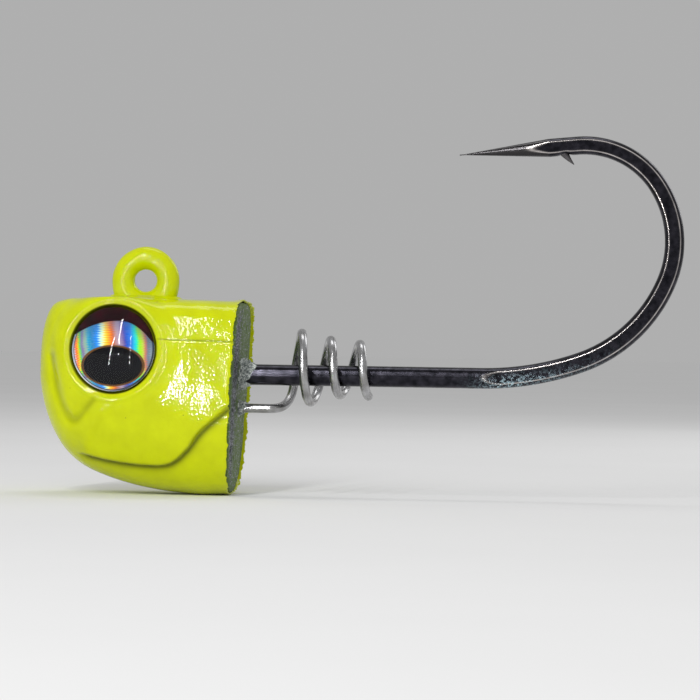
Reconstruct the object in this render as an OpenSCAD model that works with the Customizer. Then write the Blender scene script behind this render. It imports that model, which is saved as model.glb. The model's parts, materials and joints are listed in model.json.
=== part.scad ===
// Jig head with a screw-on bait keeper, in millimetres.
// Origin: where the hook's shank leaves the rear face of the head.
// +X runs along the shank to the bend, +Z is the side of the line tie and the hook point.

/* [Head] */
// Length from the nose to the rear face
head_length = 19.3; // [18.9:0.1:19.8]
// Widest part of the head, without the eyes
head_width = 13.8; // [13.2:0.1:14.4]
// How full the head is in plan view behind the nose
plan_fullness = 1.9; // [1.7:0.1:2.1]
// Lean of the rear face out of square with the shank, in degrees
rear_lean = 3; // [2:0.5:4]
// Height of the jaw plate's edge above the throat
jaw_step = 0.6; // [0.4:0.05:0.7]
// Depth of the mouth crease
mouth_depth = 0.45; // [0.2:0.05:0.5]
// Height of the cheek's edge over the upper back
cheek_step = 0.16; // [0.1:0.02:0.2]

/* [Paint] */
// Thickness of the powder coat
paint_t = 0.12; // [0.1:0.01:0.14]

/* [Hook] */
// Diameter of the wire
wire_d = 2; // [1.9:0.05:2.05]
// Mean radius of the line tie's ring
tie_radius = 2.15; // [2.1:0.05:2.2]
// Radius of the painted hole in the line tie
tie_hole_r = 1.08; // [1.06:0.01:1.1]
// Thickness across the forged flats
flat_t = 1.5; // [1.4:0.05:1.6]
// Length of the spear after the bend
spear_length = 11.2; // [10.5:0.1:11.5]
// Length of the ground point
point_length = 8.5; // [8:0.1:9]

/* [Keeper] */
// Diameter of the keeper wire
keeper_d = 0.9; // [0.8:0.05:0.95]
// Advance of each turn
keeper_pitch = 2.79; // [2.7:0.01:2.9]
// Number of turns round the shank, from the foot of the wire to its free end
keeper_turns = 3; // [3:1:3]

/* [Eyes] */
// Diameter of each eye
eye_d = 8; // [7.8:0.1:8]
// Depth of the painted pocket that the eye sits in
pocket_depth = 0.6; // [0.5:0.05:0.7]
// Height of the dome's crown over its edge
dome_rise = 1.2; // [1:0.05:1.4]

/* [Hidden] */
$fn = 64;

// Head outline: height every 10 degrees of station angle, from the rear's top round the nose to its foot
outline_z = [
    6.97, 7.05, 7.12, 7.2, 7.24, 7.16, 6.98, 6.27, 3.9,
    0.3,
    -2.2, -5, -7.4, -9.02, -10.03, -10.8, -11.3, -11.55, -11.48
];
outline_step = 10;
stations = 32;
ring_points = 60;
rear_spare = 1.4;
nose_z = 0.3;
widest_drop = 1.8;

// Eye: centre on the rim of its pocket, and how far it turns to the nose and up
eye_c = [-11.45, 6.3, 2.25];
eye_yaw = 7;
eye_pitch = 4;
eye_r = eye_d / 2;
boss_r = 4.75;
boss_fade = 1.7;
adhesive_t = 0.15;
foil_t = 0.1;
dome_edge = 0.35;
dome_gap = 0.02;
lining_drop = 0.03;
lining_lap = 0.04;

// Corners of the jaw plate's lower edge and of the mouth crease, as [x, z]
jaw_line = [[-14.6, -7.7], [-11.7, -8.3], [-8.3, -8.65], [-6, -8.45], [-4.3, -7.1], [-2.9, -5.35], [-0.2, -3]];
mouth_line = [[-17.5, 1.6], [-16.8, -2.1], [-15.3, -4.6], [-13.2, -2.6]];
jaw_fade = 1.9;
jaw_round = 0.3;
mouth_half_w = 0.45;
cheek_z = 3.25;
cheek_start_x = -7.2;

// Hook: line tie, leg, bend inside the lead, shank, then four arcs round to the spear
tie_x = -9.3;
tie_z = 8.85;
heel_r = 2.6;
tie_station = acos(-tie_x / head_length);
crown_slope = 1.9;
shank_end_x = 23;
forge_x = 15;
bend_r = [27.7, 13.75, 9.9, 8.3];
bend_deg = [19.6, 47.9, 56.3, 61.4];
bend_wire_d = [2, 1.95, 1.88, 1.81];
spear_d = 1.75;
lap = 0.25;
lap_deg = 4;
heel_thinning = 0.06;
barb_from_tip = 10.2;
barb_length = 2.2;
barb_lift = 0.9;
barb_t = 0.7;

// Keeper: straight foot, then a coil whose radius settles from one turn to the next
foot_z = -3.22;
foot_end_x = 2.8;
foot_anchor_x = -6;
anchor_r = 1.2;
anchor_drop = 1.6;
coil_x = 4.91;
coil_z = 0.65;
coil_tilt = 0.22;
coil_radii = [3.45, 3.3, 3.02, 2.5, 2.47, 2.4, 2.85];
rings_per_turn = 24;
tube_sides = 10;

// Collars of cast flash where the wires leave the lead
shank_collar = [1.75, 1.12, 1];
keeper_collar = [0.95, 0.52, 0.6];

lead = [0.5, 0.52, 0.53];
chartreuse = [0.82, 0.91, 0.02];
black_nickel = [0.12, 0.12, 0.14];
stainless = [0.62, 0.62, 0.64];
glue = [0.85, 0.85, 0.8];
foil_silver = [0.75, 0.8, 0.85];
resin = [0.9, 0.93, 0.95, 0.4];

// ---------- small helpers ----------

function mix(a, b, t) = a + (b - a) * t;
function ease(t) = let(u = min(max(t, 0), 1)) u * u * (3 - 2 * u);

// Smooth value of a list at a fractional index
function along(list, t) =
    let(
        last = len(list) - 1,
        i = min(floor(min(max(t, 0), last)), last - 1),
        u = min(max(t, 0), last) - i,
        b = list[i],
        c = list[i + 1],
        a = i > 0 ? list[i - 1] : 2 * b - c,
        d = i + 2 <= last ? list[i + 2] : 2 * c - b
    )
    b + u * (c - a) / 2 + u * u * (a - 2.5 * b + 2 * c - d / 2) + u * u * u * (1.5 * (b - c) + (d - a) / 2);

// Distance from p to the segment a-b, negative when p lies below it (for a segment that runs to +X)
function segment_distance(p, a, b) =
    let(
        ab = b - a,
        t = min(max((p - a) * ab / (ab * ab), 0), 1),
        off = p - a - t * ab,
        side = ab[0] * (p - a)[1] - ab[1] * (p - a)[0]
    )
    norm(off) * (side < 0 ? -1 : 1);

// Signed distance from p to a line of corners: the one nearest to zero
function line_distance(p, line) =
    let(
        d = [for (i = [0:len(line) - 2]) segment_distance(p, line[i], line[i + 1])],
        nearest = min([for (v = d) abs(v)])
    )
    [for (v = d) if (abs(v) == nearest) v][0];

// ---------- head skin ----------

// The outline's half angle at a station runs from 0 at the nose to 90 at the rear face
function top_z(angle) = along(outline_z, (90 - angle) / outline_step);
function foot_z_at(angle) = along(outline_z, (90 + angle) / outline_step);
function half_width(angle) = head_width / 2 * (1 - pow(1 - sin(angle), plan_fullness));
function shoulder_power(angle) = 2.4 + 2.2 * sin(1.4 * angle);
throat_power = 2.35;

// Height of the widest part of a section
function mid_z(angle) = nose_z - widest_drop * sin(angle);

// Radius of the section at a station angle, in the direction phi from straight up
function section_radius(angle, phi) =
    let(
        up = cos(phi) >= 0,
        h = up ? top_z(angle) - mid_z(angle) : mid_z(angle) - foot_z_at(angle),
        w = half_width(angle),
        n = up ? shoulder_power(angle) : throat_power
    )
    pow(pow(abs(sin(phi)) / w, n) + pow(abs(cos(phi)) / h, n), -1 / n);

// How far the face's features move the skin out, at [x, z] on the side of the head
function feature(x, z) =
    let(
        jaw = line_distance([x, z], jaw_line),
        jaw_in = ease((x + 15.6) / 2),
        mouth = abs(line_distance([x, z], mouth_line)) / mouth_half_w,
        cheek = ease((x - cheek_start_x + 0.6) / 1.2) * ease((z + 1) / 2)
    )
    jaw_in * jaw_step / 2 * min(max(jaw / jaw_round, -1), 1) * exp(-abs(jaw) / jaw_fade)
    - mouth_depth * exp(-mouth * mouth)
    + cheek * cheek_step * (ease((cheek_z + 0.3 - z) / 0.6) - 0.5);

// Sideways place of the flat round each eye's pocket, at [x, z]
function rim_plane(x, z) = eye_c[1] + (x - eye_c[0]) * tan(eye_yaw) - (z - eye_c[2]) * tan(eye_pitch);

// A point of the skin at a station angle and a direction phi, moved in by inset
function skin_point(angle, x, phi, inset) =
    let(
        outer_r = section_radius(angle, phi),
        side = abs(sin(phi)),
        raised = feature(x, mid_z(angle) + outer_r * cos(phi)) * ease(side * 1.6 - 0.2) * ease(angle / 12),
        r = outer_r + raised - inset,
        z = mid_z(angle) + r * cos(phi),
        e = norm([x - eye_c[0], mid_z(angle) + outer_r * cos(phi) - eye_c[2]]),
        boss = ease((boss_r + boss_fade - e) / boss_fade) * ease(side * 2.5),
        rim = rim_plane(x, z) - inset / cos(eye_yaw)
    )
    [x, (sin(phi) < 0 ? -1 : 1) * mix(r * side, rim, boss), z];

function station_angle(i) = min(90 * (i + 1) / stations, 90);
function station_x(i, inset) =
    i < stations ? -(head_length - inset) * cos(station_angle(i)) : rear_spare;

// Rings of one skin, from behind the nose to past the rear face
function skin(inset) = [
    for (i = [0:stations])
        for (j = [0:ring_points - 1])
            skin_point(station_angle(i), station_x(i, inset), 360 * (j + 0.5) / ring_points, inset)
];

// Faces between the rings: outward when flip is false
function wall_faces(base, flip) = [
    for (i = [0:stations - 1])
        for (j = [0:ring_points - 1])
            let(
                k = (j + 1) % ring_points,
                a = base + i * ring_points + j,
                b = base + i * ring_points + k,
                c = a + ring_points,
                d = b + ring_points
            )
            for (tri = [[a, b, d], [a, d, c]])
                flip ? [tri[2], tri[1], tri[0]] : tri
];

function nose_faces(base, tip, flip) = [
    for (j = [0:ring_points - 1])
        let(
            k = (j + 1) % ring_points,
            tri = [tip, base + k, base + j]
        )
        flip ? [tri[2], tri[1], tri[0]] : tri
];

module solid_skin(inset) {
    count = (stations + 1) * ring_points;
    last = stations * ring_points;
    polyhedron(
        points = concat(skin(inset), [[-(head_length - inset), 0, nose_z]]),
        faces = concat(
            wall_faces(0, false),
            nose_faces(0, count, false),
            [[for (j = [0:ring_points - 1]) last + j]]
        )
    );
}

// The powder coat's shell: outer skin, inner skin and the rim between them
module shell_skin() {
    count = (stations + 1) * ring_points;
    last = stations * ring_points;
    rim = [
        for (j = [0:ring_points - 1])
            let(k = (j + 1) % ring_points)
            for (tri = [
                [last + j, last + k, count + last + k],
                [last + j, count + last + k, count + last + j]
            ])
                tri
    ];
    polyhedron(
        points = concat(
            skin(0), skin(paint_t),
            [[-head_length, 0, nose_z], [-(head_length - paint_t), 0, nose_z]]
        ),
        faces = concat(
            wall_faces(0, false), nose_faces(0, 2 * count, false),
            wall_faces(count, true), nose_faces(count, 2 * count + 1, true),
            rim
        )
    );
}

// Everything behind the leaning rear face
module behind_rear() {
    rotate([0, rear_lean, 0])
        translate([0, -head_width, -20])
            cube([10, 2 * head_width, 40]);
}

// ---------- eyes ----------

// Puts its children on an eye's axis, +Z outward; side is 1 for left (+Y) and -1 for right
module at_eye(side) {
    mirror([0, side < 0 ? 1 : 0, 0])
        translate(eye_c)
            rotate([0, 0, eye_yaw])
                rotate([-90 + eye_pitch, 0, 0])
                    children();
}

// Round hole for an eye, down from the rim; its wall stands spare outside the eye's own hole
module pocket(side, spare) {
    at_eye(side)
        translate([0, 0, -pocket_depth - paint_t])
            cylinder(r = eye_r + dome_gap + spare, h = pocket_depth + paint_t + 3);
}

// Paint on the floor and the wall of a pocket, which ends just under the rim
module pocket_lining(side) {
    at_eye(side)
        difference() {
            translate([0, 0, -pocket_depth - paint_t])
                cylinder(r = eye_r + dome_gap + paint_t, h = pocket_depth + paint_t - lining_drop);
            translate([0, 0, -pocket_depth])
                cylinder(r = eye_r + dome_gap, h = pocket_depth + 1);
        }
}

module adhesive(side) {
    color(glue)
        at_eye(side)
            translate([0, 0, -pocket_depth])
                cylinder(r = eye_r - 0.15, h = adhesive_t);
}

module foil(side) {
    color(foil_silver)
        at_eye(side)
            translate([0, 0, -pocket_depth + adhesive_t])
                cylinder(r = eye_r - 0.05, h = foil_t);
}

// Resin dome: a short upright edge under a cap of one sphere
module dome(side) {
    cap_r = (eye_r * eye_r + dome_rise * dome_rise) / (2 * dome_rise);
    cap_angle = asin(eye_r / cap_r);
    color(resin)
        at_eye(side)
            translate([0, 0, -pocket_depth + adhesive_t + foil_t])
                rotate_extrude($fn = 96)
                    polygon(concat(
                        [[0, 0], [eye_r, 0]],
                        [
                            for (a = [cap_angle:-cap_angle / 12:-0.001])
                                [max(cap_r * sin(a), 0), dome_edge + dome_rise - cap_r * (1 - cos(a))]
                        ]
                    ));
}

// ---------- hook ----------

// Section of the wire, with forged flats where forged is true
module wire_section(d, forged) {
    intersection() {
        circle(d = d);
        square([d + 1, forged ? flat_t : d + 1], center = true);
    }
}

// One arc that starts at the origin along +X and turns left; it reaches back and on by lap to join its neighbours
module left_arc(r, deg, d, forged, back = 0, on = 0) {
    translate([0, r, 0])
        rotate([0, 0, -90 - back])
            rotate_extrude(angle = deg + back + on, $fn = 180)
                translate([r, 0])
                    wire_section(d, forged);
}

// The ring, its leg and the bend that lies inside the lead
module line_tie_wire() {
    translate([tie_x, 0, tie_z])
        rotate([90, 0, 0])
            rotate_extrude($fn = 96)
                translate([tie_radius, 0])
                    circle(d = wire_d);
    translate([tie_x, 0, heel_r])
        cylinder(d = wire_d, h = tie_z - tie_radius - heel_r);
    translate([tie_x, 0, heel_r])
        rotate([90, 0, 0])
            rotate([0, 0, -90])
                left_arc(heel_r, 90, wire_d - heel_thinning, false, lap_deg, lap_deg);
}

// Ground point: the spear narrows evenly to a blunt tip of 0.1 mm
module spear() {
    d = spear_d;
    rotate([0, 90, 0])
        intersection() {
            union() {
                translate([0, 0, -lap])
                    cylinder(d = d, h = spear_length - point_length + lap);
                translate([0, 0, spear_length - point_length])
                    cylinder(d1 = d, d2 = 0.1, h = point_length);
            }
            translate([-d, -flat_t / 2, -1])
                cube([2 * d, flat_t, spear_length + 2]);
        }
}

// Barb: a sliver raised from the spear's inner side, pointing back to the bend
module barb() {
    x = spear_length - barb_from_tip;
    r = spear_d / 2;
    rotate([90, 0, 0])
        linear_extrude(barb_t, center = true)
            polygon([
                [x - barb_length * 0.25, r + barb_lift],
                [x + barb_length * 0.5, r * 0.6],
                [x + barb_length * 0.35, 0],
                [x + 0.3, 0],
                [x, r * 0.8]
            ]);
}

module spear_with_barb() {
    spear();
    barb();
}

// The arcs from index i on, each starting where the last one ended, then the spear
module bend_from(i) {
    if (i < len(bend_r)) {
        rotate([90, 0, 0])
            left_arc(bend_r[i], bend_deg[i], bend_wire_d[i], true, i > 0 ? lap / bend_r[i] * 180 / PI : 0);
        translate([bend_r[i] * sin(bend_deg[i]), 0, bend_r[i] * (1 - cos(bend_deg[i]))])
            rotate([0, -bend_deg[i], 0])
                bend_from(i + 1);
    } else {
        spear_with_barb();
    }
}

module shank() {
    rotate([0, 90, 0])
        translate([0, 0, tie_x + heel_r])
            cylinder(d = wire_d, h = forge_x - tie_x - heel_r);
    translate([forge_x, 0, 0])
        rotate([90, 0, 90])
            linear_extrude(shank_end_x - forge_x)
                rotate([0, 0, 90])
                    wire_section(wire_d, true);
}

module hook() {
    color(black_nickel) {
        line_tie_wire();
        shank();
        translate([shank_end_x, 0, 0])
            bend_from(0);
    }
}

// ---------- keeper ----------

function coil_radius(turn) = along(coil_radii, turn * 2);

// Point of the coil after a number of turns from its back, where it rises behind the shank
function coil_point(turn) =
    [
        coil_x + keeper_pitch * turn + coil_tilt * sin(360 * turn),
        coil_radius(turn) * cos(360 * turn),
        coil_z + coil_radius(turn) * sin(360 * turn)
    ];

// Smooth curve from the foot's end into the back of the coil
function rise_point(t) =
    let(
        a = [foot_end_x, 0, foot_z],
        b = [foot_end_x + 1.6, 0, foot_z],
        c = [coil_x - 0.1, coil_radii[0], coil_z - 3.4],
        d = coil_point(0),
        s = 1 - t
    )
    s * s * s * a + 3 * s * s * t * b + 3 * s * t * t * c + t * t * t * d;

lead_in = 0.25;
rise_rings = 12;
keeper_route = concat(
    [[foot_end_x - lead_in, 0, foot_z]],
    [for (i = [0:rise_rings - 1]) rise_point(i / rise_rings)],
    [for (i = [0:(keeper_turns - 0.25) * rings_per_turn]) coil_point(i / rings_per_turn)]
);

function unit(v) = v / norm(v);
function tangent(route, i) = unit(route[min(i + 1, len(route) - 1)] - route[max(i - 1, 0)]);

// Across-vectors carried along the route so that the tube doesn't twist
function carried(route, i, last) =
    i == 0
        ? [unit(cross(tangent(route, 0), [0, 1, 0]))]
        : let(
            before = carried(route, i - 1, last),
            t = tangent(route, i),
            v = before[i - 1] - (before[i - 1] * t) * t
        )
        concat(before, [unit(v)]);

// Tube along a route: a ring of points at each route point and two flat ends
module tube(route, r) {
    n = len(route);
    across = carried(route, n - 1, n - 1);
    points = [
        for (i = [0:n - 1])
            let(
                u = across[i],
                v = cross(tangent(route, i), u)
            )
            for (j = [0:tube_sides - 1])
                let(a = 360 * j / tube_sides)
                route[i] + r * (cos(a) * u + sin(a) * v)
    ];
    walls = [
        for (i = [0:n - 2])
            for (j = [0:tube_sides - 1])
                let(
                    k = (j + 1) % tube_sides,
                    a = i * tube_sides + j,
                    b = i * tube_sides + k
                )
                for (tri = [[a, a + tube_sides, b + tube_sides], [a, b + tube_sides, b]])
                    tri
    ];
    polyhedron(
        points = points,
        faces = concat(
            walls,
            [[for (j = [0:tube_sides - 1]) j]],
            [[for (j = [tube_sides - 1:-1:0]) (n - 1) * tube_sides + j]]
        )
    );
}

// Straight foot and the turned-down end that anchors it in the lead
module keeper_foot() {
    translate([foot_anchor_x, 0, foot_z])
        rotate([0, 90, 0])
            cylinder(d = keeper_d, h = foot_end_x - foot_anchor_x);
    translate([foot_anchor_x, 0, foot_z])
        mirror([1, 0, 0])
            rotate([-90, 0, 0])
                left_arc(anchor_r, 90, keeper_d, false);
    translate([foot_anchor_x - anchor_r, 0, foot_z - anchor_r - anchor_drop])
        cylinder(d = keeper_d, h = anchor_drop);
}

module keeper() {
    color(stainless) {
        keeper_foot();
        tube(keeper_route, keeper_d / 2 - 0.01);
    }
}

// ---------- casting and paint ----------

// A collar along +X: [radius at the face, radius at its end, length]
module collar(c, z) {
    translate([-1, 0, z])
        rotate([0, 90, 0])
            cylinder(r = c[0], h = 1);
    translate([0, 0, z])
        rotate([0, 90, 0])
            cylinder(r1 = c[0], r2 = c[1], h = c[2]);
}

module head_casting() {
    color(lead)
        difference() {
            union() {
                difference() {
                    solid_skin(paint_t);
                    behind_rear();
                    pocket(1, paint_t);
                    pocket(-1, paint_t);
                }
                collar(shank_collar, 0);
                collar(keeper_collar, foot_z);
            }
            line_tie_wire();
            shank();
            keeper_foot();
        }
}

// Paint over the ring, down to the sloping crown of the head
module tie_coat() {
    difference() {
        translate([tie_x, 0, tie_z])
            rotate([90, 0, 0])
                rotate_extrude($fn = 96)
                    translate([tie_radius, 0])
                        circle(d = wire_d + 2 * paint_t);
        translate([tie_x, 0, tie_z])
            rotate([90, 0, 0])
                cylinder(r = tie_hole_r, h = 4, center = true);
        translate([tie_x, 0, top_z(tie_station) - paint_t / 2])
            rotate([0, crown_slope, 0])
                translate([-5, -5, -6])
                    cube([10, 10, 6]);
    }
}

module paint_coat() {
    color(chartreuse)
        difference() {
            union() {
                difference() {
                    shell_skin();
                    behind_rear();
                    pocket(1, paint_t - lining_lap);
                    pocket(-1, paint_t - lining_lap);
                }
                pocket_lining(1);
                pocket_lining(-1);
                tie_coat();
            }
            line_tie_wire();
        }
}

module eye_adhesive_left() adhesive(1);
module eye_adhesive_right() adhesive(-1);
module eye_foil_left() foil(1);
module eye_foil_right() foil(-1);
module eye_dome_left() dome(1);
module eye_dome_right() dome(-1);

head_casting();
paint_coat();
hook();
keeper();
eye_adhesive_left();
eye_adhesive_right();
eye_foil_left();
eye_foil_right();
eye_dome_left();
eye_dome_right();
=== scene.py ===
"""Jig head: the looks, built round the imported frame. Lengths are in millimetres until a mesh is made."""

import json
import math

import bpy
import numpy as np
from mathutils import Matrix, Vector, noise


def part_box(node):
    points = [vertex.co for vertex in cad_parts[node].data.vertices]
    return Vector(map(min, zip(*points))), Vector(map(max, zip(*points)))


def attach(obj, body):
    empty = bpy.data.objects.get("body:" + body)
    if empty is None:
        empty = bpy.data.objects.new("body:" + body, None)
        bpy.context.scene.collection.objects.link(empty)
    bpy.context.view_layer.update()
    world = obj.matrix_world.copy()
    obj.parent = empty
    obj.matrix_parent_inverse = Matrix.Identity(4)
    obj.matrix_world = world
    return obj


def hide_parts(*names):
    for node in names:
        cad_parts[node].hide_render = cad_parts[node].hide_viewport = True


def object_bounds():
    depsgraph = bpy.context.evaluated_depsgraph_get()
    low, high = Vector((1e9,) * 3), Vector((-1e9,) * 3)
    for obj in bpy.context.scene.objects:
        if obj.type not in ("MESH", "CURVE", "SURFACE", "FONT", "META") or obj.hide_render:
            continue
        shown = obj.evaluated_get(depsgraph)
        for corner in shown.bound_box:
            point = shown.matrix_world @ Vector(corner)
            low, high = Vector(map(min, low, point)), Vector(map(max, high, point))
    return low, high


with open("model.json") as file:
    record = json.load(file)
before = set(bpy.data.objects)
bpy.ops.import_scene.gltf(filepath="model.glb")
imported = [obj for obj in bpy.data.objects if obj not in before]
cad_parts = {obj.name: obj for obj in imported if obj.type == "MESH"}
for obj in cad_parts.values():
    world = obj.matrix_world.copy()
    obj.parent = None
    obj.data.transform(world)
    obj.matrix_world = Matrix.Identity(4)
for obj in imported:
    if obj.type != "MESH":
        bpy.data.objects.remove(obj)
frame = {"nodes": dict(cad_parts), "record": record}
cad_low, cad_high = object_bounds()

MM = 0.001
BODY = "root"
mounts = {m["name"]: m for m in frame["record"]["mounts"]}


def box_mm(node):
    """Lowest and highest corner of a CAD node, in millimetres."""
    low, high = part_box(node)
    return np.array(low) / MM, np.array(high) / MM


# ---------- driving dimensions, as in the CAD source ----------

PAINT_LOW, PAINT_HIGH = box_mm("paint_coat")
HEAD_LENGTH = -PAINT_LOW[0]
HEAD_WIDTH = 13.8
PLAN_FULLNESS = 1.9
NOSE_Z = 0.3
WIDEST_DROP = 1.8
# Heights of the head's outline at even station angles: over the back to the nose, then under to the rear
OUTLINE_Z = [
    6.97, 7.05, 7.12, 7.2, 7.24, 7.16, 6.98, 6.27, 3.9,
    0.3,
    -2.2, -5, -7.4, -9.02, -10.03, -10.8, -11.3, -11.55, -11.48,
]
OUTLINE_STEP = 10
THROAT_POWER = 2.35
REAR_NORMAL = np.array(mounts["rear_face"]["axis"], float)
REAR_SLOPE = -REAR_NORMAL[2] / REAR_NORMAL[0]
HIDDEN_INSET = 0.6

TIE_CENTRE = np.array(mounts["line_tie"]["pos_m"], float) / MM
TIE_RADIUS = 2.15
TIE_WIRE = PAINT_HIGH[2] - TIE_CENTRE[2] - TIE_RADIUS

EYE_RADIUS = 4.0
FOIL_RADIUS = 3.95
ADHESIVE_RADIUS = 3.85
POCKET_DEPTH = 0.6
ADHESIVE_T = 0.15
FOIL_T = 0.1
DOME_EDGE = 0.35
DOME_RISE = 1.2
EYE_GAP = 0.08
BOSS_RADIUS = 4.75
BOSS_FADE = 1.7

# Corners of the face's creases, as (x, z)
JAW_LINE = [(-14.6, -7.7), (-11.7, -8.3), (-8.3, -8.65), (-6, -8.45), (-4.3, -7.1), (-2.9, -5.35), (-0.2, -3)]
MOUTH_LINE = [(-17.5, 1.6), (-16.8, -2.1), (-15.3, -4.6), (-13.2, -2.6)]
RIDGE_LINE = [(-14.2, -6.5), (-11.4, -1.9)]
JAW_STEP = 0.4
JAW_START_X = -15.6
CHEEK_Z = 3.25
CHEEK_START_X = -7.2
CHEEK_SLOPE = 0.02

SHANK_END_X = 23.0
FORGE_X = 21.0
HEEL_R = 2.6
# Radius and turn of the bend's four arcs, from the shank to the spear
BEND_R = [27.7, 13.75, 9.9, 8.3]
BEND_DEG = [19.6, 47.9, 56.3, 61.4]
WIRE_R = 1.0
SPEAR_R = 0.875
FLAT_SHARE = 0.8
SPEAR_LENGTH = 11.2
POINT_LENGTH = 8.5
BARB_FROM_TIP = 10.2
BARB_LENGTH = 2.2
BARB_LIFT = 0.9

KEEPER_R = 0.45
KEEPER_PITCH = 2.79
KEEPER_TURNS = 3
FOOT_Z = -3.22
FOOT_END_X = 2.8
COIL_X = 4.91
COIL_Z = 0.65
COIL_TILT = 0.22
# Mean radius of the coil at every half turn
COIL_RADII = [3.45, 3.3, 3.02, 2.5, 2.47, 2.4, 2.85]


# ---------- small helpers ----------

def ease(t):
    """Smooth step from 0 to 1 as t goes from 0 to 1."""
    u = np.clip(t, 0, 1)
    return u * u * (3 - 2 * u)


def cos_deg(angle):
    return np.cos(np.radians(angle))


def sin_deg(angle):
    return np.sin(np.radians(angle))


def mix(a, b, t):
    """The value that lies a share t of the way from a to b."""
    return a + (b - a) * t


def around(sides):
    """Even angles round a circle, in degrees."""
    return np.linspace(0, 360, sides, endpoint=False)


def along(values, t):
    """Smooth value of a list at a fractional index, by Catmull-Rom."""
    v = np.asarray(values, float)
    padded = np.concatenate([[2 * v[0] - v[1]], v, [2 * v[-1] - v[-2]]])
    t = np.clip(np.asarray(t, float), 0, len(v) - 1)
    i = np.minimum(t.astype(int), len(v) - 2)
    u = t - i
    a, b, c, d = (padded[i + k] for k in range(4))
    return b + u * (c - a) / 2 + u**2 * (a - 2.5 * b + 2 * c - d / 2) + u**3 * (1.5 * (b - c) + (d - a) / 2)


def smooth_line(corners, steps=12):
    """The corners joined by a smooth curve, as an array of points."""
    t = np.linspace(0, len(corners) - 1, (len(corners) - 1) * steps + 1)
    return np.stack([along([c[k] for c in corners], t) for k in range(2)], axis=1)


def line_distance(x, z, line):
    """Signed distance from each (x, z) to a line that runs to +X: positive above it."""
    best = np.full(np.shape(x), 1e9)
    for a, b in zip(line[:-1], line[1:]):
        ab = b - a
        t = np.clip(((x - a[0]) * ab[0] + (z - a[1]) * ab[1]) / (ab @ ab), 0, 1)
        best = np.minimum(best, np.hypot(x - a[0] - t * ab[0], z - a[1] - t * ab[1]))
    return np.where(z > np.interp(x, line[:, 0], line[:, 1]), best, -best)


def rough(points, scale, seed=0.0):
    """Smooth noise from -1 to 1 at each point, with features about 1/scale across."""
    shift = Vector((seed * 17.3, seed * 5.1, seed * 11.7))
    flat = points.reshape(-1, 3)
    values = [noise.noise(Vector(p) * scale + shift) for p in flat]
    return np.array(values).reshape(points.shape[:-1])


def grid_faces(rows, cols, flip=False):
    """Quads between neighbouring rings of a stack."""
    j = np.arange(cols)
    k = (j + 1) % cols
    faces = []
    for i in range(rows - 1):
        a, b = i * cols, (i + 1) * cols
        quads = np.stack([a + j, a + k, b + k, b + j], axis=1)
        faces.append(quads[:, ::-1] if flip else quads)
    return np.concatenate(faces).tolist()


def fan_faces(ring_start, cols, tip, flip=False):
    """Triangles from a tip point to the ring of points that starts at ring_start."""
    faces = []
    for j in range(cols):
        tri = [tip, ring_start + (j + 1) % cols, ring_start + j]
        faces.append(tri[::-1] if flip else tri)
    return faces


def capped_faces(rows, cols, flip=False):
    """Faces of a stack of rings closed by a tip at each end; the tips are the two points after the rings."""
    tips = rows * cols
    faces = grid_faces(rows, cols, flip=flip) + fan_faces(0, cols, tips, flip=flip)
    return faces + fan_faces((rows - 1) * cols, cols, tips + 1, flip=not flip)


def torus_faces(major, minor):
    """Quads of a closed ring of wire: major sections of minor points each."""
    last = (major - 1) * minor
    seam = [(last + j, last + (j + 1) % minor, (j + 1) % minor, j) for j in range(minor)]
    return grid_faces(major, minor) + seam


def in_scene(name, data):
    """A new object with this data, linked to the scene."""
    made = bpy.data.objects.new(name, data)
    bpy.context.scene.collection.objects.link(made)
    return made


def make_piece(name, points, faces, material, node, attributes=None):
    """A smooth-shaded mesh piece in the row frame, riding on the one body and standing for a CAD node."""
    mesh = bpy.data.meshes.new(name)
    mesh.from_pydata((np.asarray(points, float) * MM).tolist(), [], faces)
    for key, values in (attributes or {}).items():
        layer = mesh.attributes.new(key, "FLOAT", "POINT")
        layer.data.foreach_set("value", np.asarray(values, np.float32).ravel())
    mesh.polygons.foreach_set("use_smooth", [True] * len(mesh.polygons))
    mesh.materials.append(material)
    mesh.update()
    piece = in_scene(name, mesh)
    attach(piece, BODY)
    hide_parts(node)
    return piece


# ---------- materials ----------

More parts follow.
